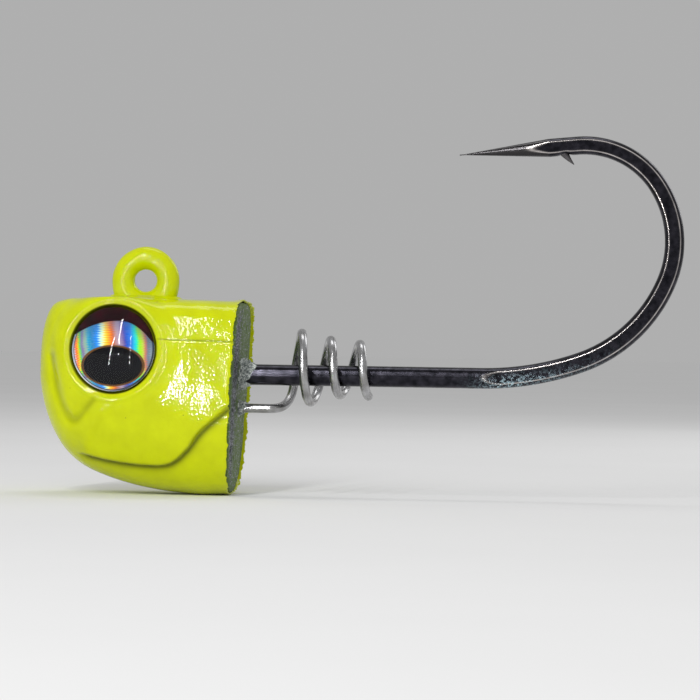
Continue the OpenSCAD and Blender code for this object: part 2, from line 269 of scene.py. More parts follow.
class Nodes:
    """A short way to write a material's nodes."""

    def __init__(self, name):
        self.material = bpy.data.materials.new(name)
        self.material.use_nodes = True
        self.tree = self.material.node_tree
        self.bsdf = self.tree.nodes["Principled BSDF"]

    def add(self, kind, inputs=None, **settings):
        """A new node; each input is a value or another node's output."""
        made = self.tree.nodes.new("ShaderNode" + kind)
        for key, value in settings.items():
            setattr(made, key, value)
        for key, value in (inputs or {}).items():
            if isinstance(value, bpy.types.NodeSocket):
                self.tree.links.new(value, made.inputs[key])
            else:
                made.inputs[key].default_value = value
        return made

    def position_mm(self):
        """Object position in millimetres."""
        place = self.add("TexCoord").outputs["Object"]
        scaled = self.add("VectorMath", {0: place, 3: 1 / MM}, operation="SCALE")
        return scaled.outputs["Vector"]

    def noise(self, place, scale, detail=2.0, roughness=0.5):
        """Noise from 0 to 1 with features about 1/scale across."""
        inputs = {"Vector": place, "Scale": scale, "Detail": detail, "Roughness": roughness}
        return self.add("TexNoise", inputs).outputs["Fac"]

    def ramp(self, value, stops):
        """Colour ramp with straight blends between its stops, each a (position, colour)."""
        made = self.add("ValToRGB", {"Fac": value})
        ramp = made.color_ramp
        while len(ramp.elements) < len(stops):
            ramp.elements.new(1.0)
        for element, (place, colour) in zip(ramp.elements, stops):
            element.position = place
            element.color = (*colour, 1.0)
        return made.outputs["Color"]

    def maths(self, operation, *values):
        """One arithmetic step on numbers or outputs."""
        return self.add("Math", dict(enumerate(values)), operation=operation).outputs[0]

    def times(self, a, b):
        return self.maths("MULTIPLY", a, b)

    def plus(self, a, b):
        return self.maths("ADD", a, b)

    def length(self, u, v):
        """How far (u, v) lies from zero."""
        return self.maths("SQRT", self.plus(self.times(u, u), self.times(v, v)))

    def map_range(self, value, low, high, to_low=0.0, to_high=1.0):
        """The value moved from the range low to high onto to_low to to_high, clamped."""
        inputs = {"Value": value, "From Min": low, "From Max": high, "To Min": to_low, "To Max": to_high}
        return self.add("MapRange", inputs).outputs["Result"]

    def blend(self, factor, a, b):
        """Colour a where factor is 0 and b where it is 1."""
        made = self.add("Mix", {0: factor}, data_type="RGBA")
        for index, value in ((6, a), (7, b)):
            if isinstance(value, bpy.types.NodeSocket):
                self.tree.links.new(value, made.inputs[index])
            else:
                made.inputs[index].default_value = (*value, 1.0)
        return made.outputs[2]

    def bump(self, height, distance_mm, strength=1.0, normal=None):
        """A normal bent by a height of 0 to 1 that stands for distance_mm, on top of another normal."""
        made = self.add("Bump", {"Height": height, "Distance": distance_mm * MM, "Strength": strength})
        if normal is not None:
            self.tree.links.new(normal, made.inputs["Normal"])
        return made.outputs["Normal"]

    def attribute(self, name):
        """A number kept on the mesh's points."""
        return self.add("Attribute", attribute_name=name).outputs["Fac"]

    def set(self, **sockets):
        """Sets the shader's sockets: a number or colour directly, and a node's output by a link."""
        names = {
            "colour": "Base Color", "metallic": "Metallic", "rough": "Roughness", "normal": "Normal",
            "ior": "IOR", "transmission": "Transmission Weight", "specular": "Specular IOR Level",
        }
        for key, value in sockets.items():
            socket = self.bsdf.inputs[names[key]]
            if isinstance(value, bpy.types.NodeSocket):
                self.tree.links.new(value, socket)
            elif key == "colour":
                socket.default_value = (*value, 1.0)
            else:
                socket.default_value = value
        return self.material


def powder_coat_material():
    """Glossy chartreuse powder coat: orange peel, faint mottling, a few dark specks, and painted shade in the
    creases and round the eye.
    """
    n = Nodes("powder_coat")
    place = n.position_mm()
    mottle = n.map_range(n.noise(place, 0.45, 3), 0.35, 0.65)
    base = n.blend(mottle, (0.54, 0.6, 0.001), (0.6, 0.67, 0.001))
    cells = n.add("TexVoronoi", {"Vector": place, "Scale": 1.1})
    near = n.map_range(cells.outputs["Distance"], 0.03, 0.075, 1.0, 0.0)
    picked = n.map_range(n.add("SeparateColor", {0: cells.outputs["Color"]}).outputs[0], 0.8, 0.86)
    speck = n.times(near, picked)
    colour = n.blend(n.times(speck, 0.75), base, (0.1, 0.12, 0.01))
    # Painted shade: the crease attribute darkens the paint in the creases and in the gap round the eye
    colour = n.blend(n.attribute("crease"), colour, (0.05, 0.06, 0.001))
    peel = n.bump(n.noise(place, 0.8, 1), 0.02, 1.0)
    peel = n.bump(n.noise(place, 4.0, 0), 0.012, 1.0, peel)
    pits = n.bump(speck, -0.03, 0.8, peel)
    rough_map = n.map_range(n.noise(place, 3.0, 2), 0.3, 0.7, 0.05, 0.1)
    return n.set(colour=colour, rough=rough_map, normal=pits, specular=0.24)


def lead_material():
    """Bare lead alloy: file marks, dull patches, and paint overspray near the edge."""
    n = Nodes("bare_lead")
    place = n.position_mm()
    strokes = {"Vector": place, "Rotation": (0.12, 0, 0), "Scale": (1, 0.8, 2.6)}
    marks = n.noise(n.add("Mapping", strokes).outputs[0], 2.2, 5, 0.65)
    grain = n.noise(place, 7.0, 3)
    tones = [(0.38, (0.015, 0.016, 0.022)), (0.5, (0.1, 0.11, 0.125)), (0.66, (0.5, 0.51, 0.56))]
    tone = n.ramp(marks, tones)
    wide = n.add("Mapping", {"Vector": place, "Scale": (1, 0.4, 1.5)}).outputs[0]
    patches = n.noise(wide, 1.5, 6, 0.72)
    dull = n.blend(n.map_range(patches, 0.54, 0.66, 0.0, 0.7), tone, (0.16, 0.17, 0.19))
    dull = n.blend(n.map_range(patches, 0.47, 0.4), dull, (0.015, 0.018, 0.022))
    spray_edge = n.plus(n.attribute("overspray"), n.map_range(grain, 0.3, 0.7, -0.3, 0.3))
    spray_edge = n.plus(spray_edge, n.map_range(marks, 0.35, 0.65, 0.25, -0.25))
    spray = n.map_range(spray_edge, 0.35, 0.65)
    colour = n.blend(n.times(spray, 0.9), dull, (0.1, 0.17, 0.02))
    flake = n.map_range(n.attribute("flash"), 0.2, 0.9)
    crumb_tones = [(0.36, (0.08, 0.1, 0.11)), (0.5, (0.4, 0.44, 0.42)), (0.6, (0.78, 0.8, 0.78))]
    crumbs = n.ramp(n.noise(place, 5.0, 4, 0.7), crumb_tones)
    colour = n.blend(flake, colour, crumbs)
    metallic = n.map_range(n.plus(spray, flake), 0.0, 1.0, 0.85, 0.15)
    normal = n.bump(marks, 0.05, 0.6)
    normal = n.bump(grain, 0.03, 0.5, normal)
    rough_map = n.map_range(grain, 0.3, 0.7, 0.42, 0.65)
    return n.set(colour=colour, metallic=metallic, rough=rough_map, normal=normal, specular=0.2)


def black_nickel_material():
    """Black nickel plating with painted highlight lines along the forged edges, and pale dust where the bend
    starts.
    """
    n = Nodes("black_nickel")
    place = n.position_mm()
    clouds = n.map_range(n.noise(place, 1.4, 4), 0.35, 0.7)
    tone = n.blend(clouds, (0.014, 0.014, 0.018), (0.045, 0.043, 0.055))
    tone = n.blend(n.attribute("ground"), tone, (0.05, 0.048, 0.05))
    # Painted highlight: pale lines where the forged flats meet the round sides
    painted_edge_highlight = n.times(n.attribute("edge"), n.map_range(n.noise(place, 0.8, 3), 0.35, 0.6, 0.6, 1.0))
    tone = n.blend(painted_edge_highlight, tone, (0.6, 0.56, 0.54))
    dust = n.times(n.map_range(n.noise(place, 4.5, 4, 0.7), 0.5, 0.58), n.attribute("dust"))
    colour = n.blend(dust, tone, (0.5, 0.7, 0.78))
    metallic = n.map_range(n.maths("MAXIMUM", dust, n.times(painted_edge_highlight, 0.6)), 0.0, 1.0, 1.0, 0.0)
    run = n.times(n.attribute("along_wire"), 0.3)
    turn = n.times(n.attribute("round_wire"), 5.0)
    lines = n.noise(n.add("CombineXYZ", {0: run, 1: turn}).outputs[0], 2.0, 1)
    rough_map = n.map_range(n.noise(place, 2.0, 3), 0.3, 0.7, 0.16, 0.26)
    rough_map = n.plus(rough_map, n.times(dust, 0.4))
    normal = n.bump(lines, 0.004, 0.5)
    normal = n.bump(dust, 0.04, 0.8, normal)
    return n.set(colour=colour, metallic=metallic, rough=rough_map, normal=normal)


def stainless_material():
    """Drawn stainless wire: fine lines along its length, stained in places."""
    n = Nodes("stainless_wire")
    place = n.position_mm()
    turn = n.times(n.attribute("round_wire"), 14.0)
    run = n.times(n.attribute("along_wire"), 0.5)
    lines = n.noise(n.add("CombineXYZ", {0: run, 1: turn}).outputs[0], 2.0, 4, 0.6)
    stain = n.map_range(n.noise(place, 0.9, 3), 0.42, 0.66)
    bright = n.ramp(lines, [(0.3, (0.3, 0.3, 0.31)), (0.7, (0.62, 0.62, 0.63))])
    colour = n.blend(n.times(stain, 0.55), bright, (0.2, 0.19, 0.18))
    rough_map = n.map_range(lines, 0.3, 0.7, 0.15, 0.34)
    normal = n.bump(lines, 0.008, 0.6)
    return n.set(colour=colour, metallic=1.0, rough=rough_map, normal=normal)


def foil_material():
    """Printed holographic foil: upright rainbow bands, a half-closed lid and a pupil with a brown ring; a
    painted shadow under the lid and a painted highlight ring near the edge.
    """
    n = Nodes("holographic_foil")
    u = n.attribute("eye_u")
    v = n.attribute("eye_v")
    place = n.add("CombineXYZ", {0: u, 1: v}).outputs[0]
    teeth = n.maths("PINGPONG", n.times(v, 36.0), 1.0)
    drift = n.map_range(n.noise(place, 1.6, 3), 0.3, 0.7, -0.02, 0.02)
    lean = n.times(v, 0.05)
    across = n.plus(n.map_range(u, -0.92, 1.08), n.plus(drift, lean))
    across = n.plus(across, n.times(teeth, 0.035))
    bands = [
        (0.0, (0.4, 0.45, 0.5)), (0.03, (0.75, 0.1, 0.02)), (0.06, (0.8, 0.4, 0.02)),
        (0.085, (0.15, 0.6, 0.1)), (0.115, (0.18, 0.1, 0.3)), (0.165, (0.25, 0.35, 0.25)),
        (0.21, (0.05, 0.25, 0.4)), (0.26, (0.02, 0.15, 0.35)), (0.31, (0.05, 0.22, 0.65)),
        (0.355, (0.6, 0.8, 0.65)), (0.405, (0.85, 0.6, 0.15)), (0.45, (0.75, 0.22, 0.07)),
        (0.5, (0.4, 0.22, 0.2)), (0.55, (0.35, 0.3, 0.37)), (0.595, (0.17, 0.13, 0.25)),
        (0.64, (0.06, 0.12, 0.42)), (0.69, (0.0, 0.13, 0.6)), (0.74, (0.03, 0.6, 0.65)),
        (0.785, (0.35, 0.7, 0.08)), (0.83, (0.5, 0.6, 0.2)), (0.86, (0.6, 0.25, 0.2)),
        (0.9, (0.15, 0.2, 0.25)), (0.95, (0.3, 0.35, 0.4)), (1.0, (0.15, 0.2, 0.22)),
    ]
    foil = n.ramp(across, bands)
    foil = n.add("HueSaturation", {"Saturation": 1.35, "Value": 1.25, "Color": foil}).outputs[0]
    grain = n.map_range(n.noise(place, 14.0, 2), 0.3, 0.7)
    foil = n.blend(n.times(grain, 0.08), foil, (0.6, 0.62, 0.65))
    # The lid's edge: an arc that falls faster on the side of the gill
    shift = n.maths("SUBTRACT", u, 0.14)
    fall = n.map_range(shift, -0.02, 0.02, 0.28, 0.76)
    edge = n.maths("SUBTRACT", 0.64, n.times(fall, n.times(shift, shift)))
    lid = n.map_range(n.maths("SUBTRACT", v, edge), -0.008, 0.008)
    radius = n.length(u, v)
    # Near the edge a thin dark ring, then a silver ring that is a painted highlight of the dome's edge
    # catching light
    foil = n.blend(n.map_range(radius, 0.925, 0.935), foil, (0.05, 0.06, 0.08))
    foil = n.blend(n.map_range(radius, 0.95, 0.96), foil, (0.6, 0.62, 0.65))
    lid_tone = n.ramp(n.noise(place, 3.0, 3), [(0.35, (0.006, 0.001, 0.002)), (0.7, (0.03, 0.002, 0.006))])
    # Painted shadow: the foil darkens and turns blue below the lid's edge
    shade = n.map_range(n.maths("SUBTRACT", edge, v), 0.0, 0.28, 0.55, 0.0)
    foil = n.blend(shade, foil, (0.03, 0.08, 0.16))
    colour = n.blend(lid, foil, lid_tone)
    # Pupil: an ellipse low in the eye, measured as a share of its own radius
    pu = n.maths("DIVIDE", n.maths("SUBTRACT", u, 0.01), 0.695)
    pv = n.maths("DIVIDE", n.plus(v, 0.385), 0.437)
    share = n.length(pu, pv)
    ring = n.map_range(share, 1.075, 1.095, 1.0, 0.0)
    colour = n.blend(ring, colour, (0.15, 0.065, 0.018))
    pupil = n.map_range(share, 0.985, 1.005, 1.0, 0.0)
    colour = n.blend(pupil, colour, (0.004, 0.004, 0.006))
    printed = n.maths("MAXIMUM", lid, ring)
    metallic = n.map_range(printed, 0.0, 1.0, 0.35, 0.0)
    rough_map = n.map_range(grain, 0.0, 1.0, 0.4, 0.55)
    normal = n.bump(n.times(teeth, n.maths("SUBTRACT", 1.0, printed)), 0.006, 0.4)
    sheen = n.times(n.maths("SUBTRACT", 1.0, printed), 0.15)
    return n.set(colour=colour, metallic=metallic, rough=rough_map, normal=normal, specular=sheen)


def resin_material():
    """Clear cast resin, with a faint ripple on its surface."""
    n = Nodes("clear_resin")
    ripple = n.bump(n.noise(n.position_mm(), 0.9, 1), 0.012, 0.4)
    return n.set(colour=(0.985, 0.99, 0.99), rough=0.02, transmission=1.0, ior=1.33, normal=ripple)


def adhesive_material():
    """White glue film, slightly uneven."""
    n = Nodes("adhesive")
    place = n.position_mm()
    blotch = n.noise(place, 1.6, 3)
    colour = n.blend(n.map_range(blotch, 0.35, 0.65), (0.6, 0.58, 0.5), (0.78, 0.77, 0.72))
    return n.set(colour=colour, rough=0.6, normal=n.bump(blotch, 0.02, 0.5))


FLOOR_TONE = 0.82


def floor_material():
    """Pale matt tabletop."""
    n = Nodes("pale_floor")
    place = n.position_mm()
    clouds = n.map_range(n.noise(place, 0.02, 4), 0.3, 0.7)
    tone = n.blend(clouds, (FLOOR_TONE - 0.01,) * 3, (FLOOR_TONE + 0.01,) * 3)
    return n.set(colour=tone, rough=0.9, specular=0.0, normal=n.bump(n.noise(place, 1.2, 3), 0.02, 0.3))


# ---------- head ----------

def top_z(angle):
    """Height of the head's back at a station angle: 0 at the nose, 90 at the rear face."""
    return along(OUTLINE_Z, (90 - angle) / OUTLINE_STEP)


def foot_z(angle):
    """Height of the throat and belly at a station angle."""
    return along(OUTLINE_Z, (90 + angle) / OUTLINE_STEP)


def mid_z(angle):
    """Height of the widest place of the head's section at a station angle."""
    return NOSE_Z - WIDEST_DROP * sin_deg(angle)


def section_radius(angle, phi):
    """Radius of the head's section at a station angle, in the direction phi from straight up, in degrees."""
    sine = sin_deg(angle)
    w = HEAD_WIDTH / 2 * (1 - (1 - sine) ** PLAN_FULLNESS)
    c, s = cos_deg(phi), np.abs(sin_deg(phi))
    h = np.where(c >= 0, top_z(angle) - mid_z(angle), mid_z(angle) - foot_z(angle))
    n = np.where(c >= 0, 2.4 + 2.2 * sin_deg(1.4 * angle), THROAT_POWER)
    return ((s / w) ** n + (np.abs(c) / h) ** n) ** (-1 / n)


def eye_axes(side):
    """Centre of the foil's top face and the eye's axes from the CAD foil: across, up and outward."""
    foil = frame["nodes"]["eye_foil_left" if side > 0 else "eye_foil_right"]
    points = np.array([v.co for v in foil.data.vertices]) / MM
    centre = (points.min(0) + points.max(0)) / 2
    out = np.linalg.svd(points - points.mean(0))[2][2]
    out = out * side * np.sign(out[1])
    up = np.array([0, 0, 1.0]) - out * out[2]
    up /= np.linalg.norm(up)
    return centre + out * FOIL_T / 2, -np.cross(up, out) * side, up, out


FOIL_TOP, EYE_ACROSS, EYE_UP, EYE_OUT = eye_axes(1)
RIM_CENTRE = FOIL_TOP + EYE_OUT * (POCKET_DEPTH - ADHESIVE_T - FOIL_T)


def cheek_level(x, z):
    """Height over the line where the cheek meets the upper back."""
    return z - CHEEK_Z + CHEEK_SLOPE * (x - CHEEK_START_X)


def face_feature(x, z):
    """How far the jaw plate, the mouth, the ridge and the cheek move the skin out."""
    jaw = line_distance(x, z, smooth_line(JAW_LINE))
    groove = 0.1 * np.exp(-(((jaw + 0.12) / 0.16) ** 2)) * ease(-x / 2.5)
    jaw_step = JAW_STEP * np.tanh(jaw / 0.17) * np.exp(-np.abs(jaw) / 2.1) - groove
    jaw_step = jaw_step * ease((x - JAW_START_X) / 2)
    mouth = np.abs(line_distance(x, z, smooth_line(MOUTH_LINE)))
    deep = mix(0.36, 0.2, ease((x + 15.4) / 1.2))
    crease = -deep * np.exp(-((mouth / 0.45) ** 2)) + 0.04 * np.exp(-(((mouth - 1.0) / 0.5) ** 2))
    ridge = 0.1 * np.exp(-((line_distance(x, z, smooth_line(RIDGE_LINE)) / 0.5) ** 2))
    over = ease((x - CHEEK_START_X + 0.3) / 0.8) * ease((z + 1) / 2)
    level = cheek_level(x, z)
    cheek_step = -0.09 * np.tanh(level / 0.12) * np.exp(-np.abs(level) / 1.6)
    cheek_groove = 0.1 * np.exp(-((level / 0.13) ** 2))
    return jaw_step + crease + ridge + over * (cheek_step - cheek_groove)


def painted_crease_shade(points):
    """Painted shade from 0 to 1 in the creases and in the gap round the eye, where shadow falls; in the gap
    it also stands for the paint lying thin there.
    """
    x, z = points[..., 0], points[..., 2]
    jaw = line_distance(x, z, smooth_line(JAW_LINE))
    mouth = line_distance(x, z, smooth_line(MOUTH_LINE))
    level = cheek_level(x, z)
    # Under the jaw's edge the painted shade fades slowly, above it at once
    jaw_reach = np.where(jaw < -0.1, 0.34, 0.15)
    shade = 0.8 * np.exp(-((np.abs(jaw + 0.1) / jaw_reach) ** 1.6)) * ease((x - JAW_START_X) / 2)
    shade = np.maximum(shade, 0.3 * np.exp(-((mouth / 0.3) ** 2)))
    shade = np.maximum(shade, 0.6 * np.exp(-((level / 0.07) ** 2)) * ease((x - CHEEK_START_X + 0.3) / 0.8))
    reach = points * np.array([1, 0, 1]) + np.abs(points) * np.array([0, 1, 0]) - RIM_CENTRE
    e = np.hypot(reach @ EYE_ACROSS, reach @ EYE_UP)
    shade = np.maximum(shade, np.exp(-(((e - EYE_RADIUS - EYE_GAP) / 0.2) ** 4)))
    return shade * ease(np.abs(points[..., 1]) / 2)


def eye_rim(e):
    """Height of the pocket's floor, wall and rolled rim over the rim plane, at e from the eye's axis."""
    wall = ease((e - (EYE_RADIUS + EYE_GAP)) / 0.16)
    roll = 0.15 * np.exp(-(((e - BOSS_RADIUS) / 0.38) ** 2))
    return mix(-POCKET_DEPTH, roll - 0.05, wall)


def head_skin(angle, phi, inset=0.0, rear_gap=0.0, hidden=False):
    """Points of the head's skin for arrays of station angles and directions, moved in by inset.

    A hidden skin has plain pockets and no creases.
    """
    side = np.abs(sin_deg(phi))
    cosine = cos_deg(phi)
    mid = mid_z(angle)
    outer = section_radius(angle, phi)
    x = -(HEAD_LENGTH - inset) * cos_deg(angle)
    z0 = mid + outer * cosine
    lean = ease((x + 6) / 6)
    raised = face_feature(x + lean * z0 * REAR_SLOPE, z0) * ease(side * 1.6 - 0.2) * ease(angle / 12)
    r = outer + (0 if hidden else raised) - inset
    z = mid + r * cosine
    y = r * side
    # Rolled brow and pocket round the eye, on the rim plane
    e_flat = np.hypot(x - RIM_CENTRE[0], z0 - RIM_CENTRE[2])
    boss = ease((BOSS_RADIUS + BOSS_FADE - e_flat) / BOSS_FADE) * ease(side * 2.5)
    along_out = (x - RIM_CENTRE[0]) * EYE_OUT[0] + (z - RIM_CENTRE[2]) * EYE_OUT[2]
    plane_y = RIM_CENTRE[1] - along_out / EYE_OUT[1]
    flat = np.stack([x, plane_y - inset, z], axis=-1)
    reach = flat - RIM_CENTRE
    e = np.hypot(reach @ EYE_ACROSS, reach @ EYE_UP)
    rim = np.minimum(eye_rim(e), -POCKET_DEPTH) if hidden else eye_rim(e)
    lifted = flat + rim[..., None] * EYE_OUT
    skin = mix(np.stack([x, y, z], axis=-1), lifted, boss[..., None])
    # The last stretch leans to meet the rear face
    skin[..., 0] += lean * (skin[..., 2] * REAR_SLOPE - rear_gap)
    # Paint drawn up round the line tie's foot
    near_x = np.abs(skin[..., 0] - TIE_CENTRE[0]) / (TIE_RADIUS + TIE_WIRE + 0.05)
    near_y = skin[..., 1] / (TIE_WIRE + 0.08)
    foot = (near_x**4 + np.abs(near_y) ** 2.5) ** 0.4
    skin[..., 2] += 0.26 * ease((1.2 - foot) / 0.3) * (cosine > 0.5)
    skin[..., 1] *= np.sign(sin_deg(phi))
    return skin


def spread(low, high, count, dense_low, dense_high, gain):
    """Count values from low to high, gain times closer together between dense_low and dense_high."""
    t = np.linspace(low, high, 4000)
    weight = 1 + (gain - 1) * ease((t - dense_low) / 3 + 0.5) * ease((dense_high - t) / 3 + 0.5)
    reached = np.concatenate([[0], np.cumsum((weight[1:] + weight[:-1]) / 2)])
    return np.interp(np.linspace(0, reached[-1], count), reached, t)


def ring_directions(count, gain=2.0):
    """Directions round a section, closer together on the two sides where the eyes are."""
    half = spread(0, 180, count // 2 + 1, 34, 118, gain)
    half = (half[:-1] + half[1:]) / 2
    return np.concatenate([half, 360 - half[::-1]])


SKIN_STATIONS = 172
SKIN_RING = 500


def powder_coat():
    """The paint on the head: a closed shell with a ragged edge round the rear face."""
    angles = spread(0.9, 90, SKIN_STATIONS, 34, 68, 1.9)
    phi = ring_directions(SKIN_RING)
    a, p = np.meshgrid(angles, phi, indexing="ij")
    ring = np.stack([cos_deg(phi), sin_deg(phi), 0 * phi], axis=-1)
    ragged = 0.22 + 0.12 * rough(ring * 9, 1.0, 1)
    ragged = ragged + 0.13 * rough(ring * 26, 1.0, 2) + 0.12 * rough(ring * 60, 1.0, 3)
    # On the +Y side the edge stands proud of the rear face
    ragged = np.clip(ragged, 0.03, 0.5) - 0.42 * ease(2.2 * sin_deg(phi))
    outer = head_skin(a, p, rear_gap=ragged)
    # A burr of paint stands up at the top of the rear edge
    outer[..., 2] += 0.2 * np.exp(-(((90 - a) / 2.2) ** 2)) * np.exp(-((np.minimum(p, 360 - p) / 12) ** 2))
    wobble = 0.022 * rough(outer, 0.45, 4) + 0.008 * rough(outer, 1.3, 5)
    away = outer - np.stack([outer[..., 0], 0 * outer[..., 0], mid_z(a)], axis=-1)
    outer = outer + away / np.linalg.norm(away, axis=-1, keepdims=True) * wobble[..., None]
    outer[..., 2] = np.maximum(outer[..., 2], PAINT_LOW[2] + 0.002)
    # Round the paint's edge over and lead it in under the skin
    last = outer[-1]
    centre = np.stack([last[:, 0], 0 * last[:, 0], np.full(len(phi), mid_z(90.0))], axis=-1)
    inward = (centre - last) / np.linalg.norm(centre - last, axis=-1, keepdims=True)
    lip = [last + inward * d + np.array([dx, 0, 0]) for d, dx in ((0.03, 0.035), (0.09, 0.03), (0.14, -0.1))]
    ai, pi = np.meshgrid(np.linspace(78, 4, 14), phi, indexing="ij")
    inner = head_skin(ai, pi, inset=HIDDEN_INSET, hidden=True)
    inner[..., 1] *= np.where(np.abs(inner[..., 1]) > 5.0, 0.97, 1.0)
    rows = np.concatenate([outer, np.stack(lip), inner])
    tips = [[-HEAD_LENGTH + 0.002, 0, NOSE_Z], [-HEAD_LENGTH + 0.2, 0, NOSE_Z]]
    points = np.concatenate([rows.reshape(-1, 3), tips])
    faces = capped_faces(len(rows), SKIN_RING)
    # The crease attribute carries the painted shade of the creases and the eye's gap
    crease = np.zeros(len(points))
    crease[: outer.shape[0] * SKIN_RING] = painted_crease_shade(outer).ravel()
    return make_piece("paint_on_head", points, faces, PAINT, "paint_coat", {"crease": crease})


def tie_ring_coat():
    """The paint on the line tie's ring, a little lumpy as powder is on a thin wire."""
    major, minor = 220, 64
    a, b = np.meshgrid(np.radians(around(major)), np.radians(around(minor)), indexing="ij")
    wire = TIE_WIRE - 0.02
    radial = np.stack([np.cos(a), 0 * a, np.sin(a)], axis=-1)
    base = TIE_CENTRE + radial * (TIE_RADIUS + wire * np.cos(b))[..., None]
    base[..., 1] = wire * np.sin(b)
    out = radial * np.cos(b)[..., None] + np.stack([0 * a, np.sin(b), 0 * a], axis=-1)
    lumps = 0.03 * rough(base, 0.9, 6) + 0.012 * rough(base, 3.0, 7)
    side = np.exp(-(((a - 0.25) / 0.35) ** 2)) * np.exp(-((b / 0.9) ** 2))
    pitted = side * 0.05 * rough(base, 6.0, 8)
    points = base + out * np.minimum(lumps + pitted, 0.018)[..., None]
    # Below its middle the ring goes straight down into the head
    low = points[..., 2] < TIE_CENTRE[2]
    full = TIE_RADIUS + wire * np.cos(b)
    straight = np.sign(np.cos(a)) * np.maximum(np.abs(np.cos(a)) * full, full * np.abs(np.cos(a)) ** 0.55)
    upright = mix(points[..., 0], TIE_CENTRE[0] + straight, ease(np.cos(b) * 1.5))
    points[..., 0] = np.where(low, upright, points[..., 0])
    faces = torus_faces(major, minor)
    return make_piece("paint_on_line_tie", points.reshape(-1, 3), faces, PAINT, "paint_coat")


FACE_RINGS = 84
LEAD_RING = 420


def head_casting():
    """The lead: a skin under the paint, a filed bevel and the bare rear face with its marks."""
    phi = ring_directions(LEAD_RING, 1.0)
    skin_angles = np.linspace(4, 84, 24)
    a, p = np.meshgrid(skin_angles, phi, indexing="ij")
    skin = head_skin(a, p, inset=HIDDEN_INSET + 0.05, hidden=True)
    skin[..., 1] *= np.where(np.abs(skin[..., 1]) > 5.0, 0.96, 1.0)
    rim = head_skin(np.full(LEAD_RING, 90.0), phi, inset=0.09)
    centre_z = mid_z(90.0)
    centre = np.array([0.0, 0.0, centre_z])
    ring = np.stack([cos_deg(phi), sin_deg(phi), 0 * phi], axis=-1)
    chip = 0.06 * rough(ring * 14, 1.0, 9) + 0.04 * rough(ring * 45, 1.0, 10)
    rows, spray = [], []
    # The metal just under the paint's edge, then the filed face from its bevel inwards
    for back, inset in ((0.9, 0.6), (0.6, 0.25), (0.4, 0.01)):
        row = rim + (centre - rim) * (inset / 6)
        row[:, 0] = row[:, 2] * REAR_SLOPE - back
        rows.append(row)
        spray.append(np.full(LEAD_RING, 1.0))
    for k, share in enumerate(np.linspace(1, 0.004, FACE_RINGS)):
        row = centre + (rim - centre) * (share * (1 - 0.012 * (k == 0)))
        edge = np.linalg.norm(rim - row, axis=-1)
        marks = 0.05 * rough(row * np.array([1, 2.2, 0.3]), 1.1, 11)
        marks = marks + 0.03 * rough(row * np.array([1, 6, 0.7]), 1.0, 12)
        pits = -0.22 * np.maximum(rough(row, 0.9, 13) - 0.3, 0) + 0.025 * rough(row, 4.0, 14)
        bevel = -0.2 * np.exp(-edge / 0.14) + chip * np.exp(-edge / 0.25)
        row[:, 0] = row[:, 2] * REAR_SLOPE + np.minimum(marks + pits + bevel - 0.03, 0.03)
        rows.append(row)
        spray.append(np.maximum(np.exp(-edge / 1.1), 0.65 * ease((row[:, 1] + 6) / 6)))
    skin_spray = [np.zeros(LEAD_RING)] * len(skin_angles)
    grid = np.concatenate([skin, np.stack(rows)])
    overspray = np.concatenate([np.stack(skin_spray), np.stack(spray)]).ravel()
    tips = [[-HEAD_LENGTH + 0.5, 0, NOSE_Z], [centre_z * REAR_SLOPE, 0, centre_z]]
    points = np.concatenate([grid.reshape(-1, 3), tips])
    faces = capped_faces(len(grid), LEAD_RING)
    attributes = {"overspray": np.append(overspray, [0, 0]), "flash": np.zeros(len(points))}
    return make_piece("lead_casting", points, faces, LEAD, "head_casting", attributes)


def flash_collar(name, z, wire_r, foot_r, length, seed):
    """Crumbly flash of lead that crept out of the mould along a wire, longer on its upper side."""
    rows, cols = 60, 180
    t = np.linspace(0, 1, rows)
    a, b = np.meshgrid(t, np.radians(around(cols)), indexing="ij")
    circle = np.stack([np.cos(b), np.sin(b), a * 1.8], axis=-1)
    lumps = 0.6 * rough(circle, 1.9, seed)
    lumps = lumps + 0.5 * rough(circle, 4.5, seed + 1) + 0.5 * rough(circle, 10, seed + 2)
    upper = 0.5 + 0.5 * np.cos(b)
    reach = length * (0.55 + 0.5 * upper + 0.4 * rough(circle * np.array([1, 1, 0]), 2.4, seed + 3))
    thick = foot_r - wire_r
    r = wire_r + 0.05 + thick * (1 - a**0.6) * (0.75 + 0.5 * lumps) + 0.35 * thick * lumps * np.sin(np.pi * a)
    r = np.maximum(r, wire_r * 0.92)
    up = z + r * np.cos(b)
    grit = 0.06 * rough(circle, 16, seed + 4) + 0.1 * lumps
    x = up * REAR_SLOPE - 0.15 + (reach + 0.15) * a + grit * np.sin(np.pi * a)
    points = np.stack([x, r * np.sin(b), up], axis=-1)
    centre = np.array([0, 0, z])
    end = centre + (points[-1] - centre) * np.array([1, 0.6, 0.6])
    grid = np.concatenate([points, end[None]])
    flat = np.concatenate([grid.reshape(-1, 3), [[points[0, :, 0].mean(), 0, z], [end[:, 0].mean(), 0, z]]])
    faces = capped_faces(rows + 1, cols, flip=True)
    attributes = {"overspray": np.zeros(len(flat)), "flash": np.ones(len(flat))}
    return make_piece(name, flat, faces, LEAD, "head_casting", attributes)


# ---------- hook ----------

